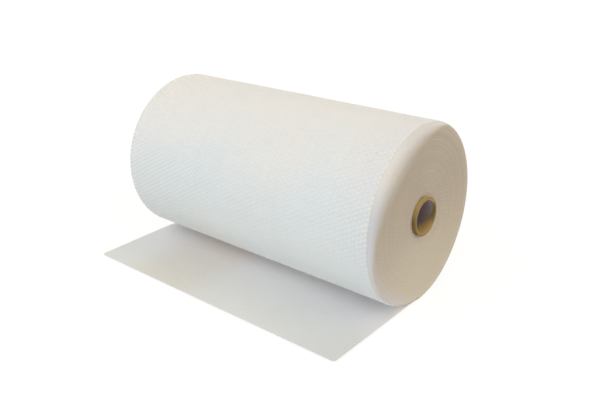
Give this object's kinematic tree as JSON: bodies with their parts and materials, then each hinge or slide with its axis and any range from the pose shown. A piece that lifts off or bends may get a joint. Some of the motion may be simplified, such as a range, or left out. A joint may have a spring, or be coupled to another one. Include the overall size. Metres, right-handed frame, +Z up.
{
  "type": "bubble wrap roll",
  "caption": "Large roll of small-bubble cushioning film wound on a cardboard tube, lying on its side with its free end pulled out flat in front.",
  "frame": {"origin": "on the floor, under the roll's axis and midway along it, at the middle of the flat on which the roll stands", "axes": "+X along the roll's axis; the free end of the film lies on the floor towards -Y; +Z up"},
  "size_m": [0.767, 0.5249, 0.4165],
  "materials": {
    "cardboard": "plain brown spiral-wound board",
    "film": "milky translucent polyethylene film with air bubbles"
  },
  "bodies": {
    "root": {"core_tube": "cardboard", "bubble_web": "film"}
  },
  "joints": []
}
